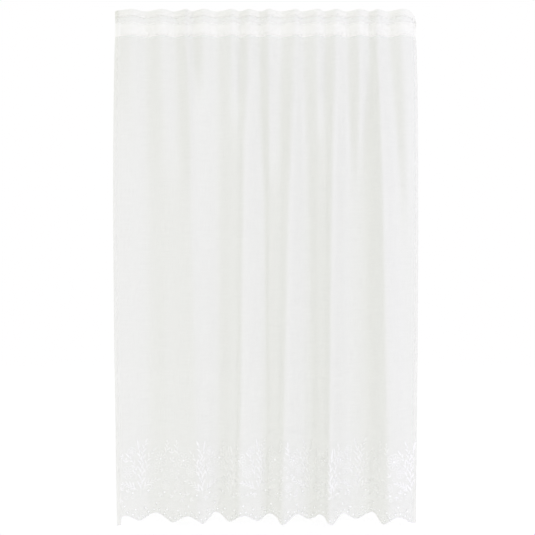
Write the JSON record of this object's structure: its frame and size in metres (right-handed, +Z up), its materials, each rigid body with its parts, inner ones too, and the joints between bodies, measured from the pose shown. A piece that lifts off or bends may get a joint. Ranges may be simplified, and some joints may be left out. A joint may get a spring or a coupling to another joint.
{
  "type": "lace curtain",
  "caption": "Sheer lace curtain in soft hanging folds, on a gathered heading tape, with an eyeleted border and a scalloped foot.",
  "frame": {"origin": "middle of the top edge, on the line that the heading hangs from", "axes": "+Z up along the drop, -Y is the front that faces the room, +X to the right seen from the front"},
  "size_m": [1.4593, 0.1282, 2.4501],
  "materials": {
    "sheer_cloth": "sheer matt voile with white satin-stitch lace",
    "woven_tape": "matt woven tape"
  },
  "bodies": {
    "root": {"curtain_cloth": "sheer_cloth", "heading_tape": "woven_tape"}
  },
  "joints": []
}
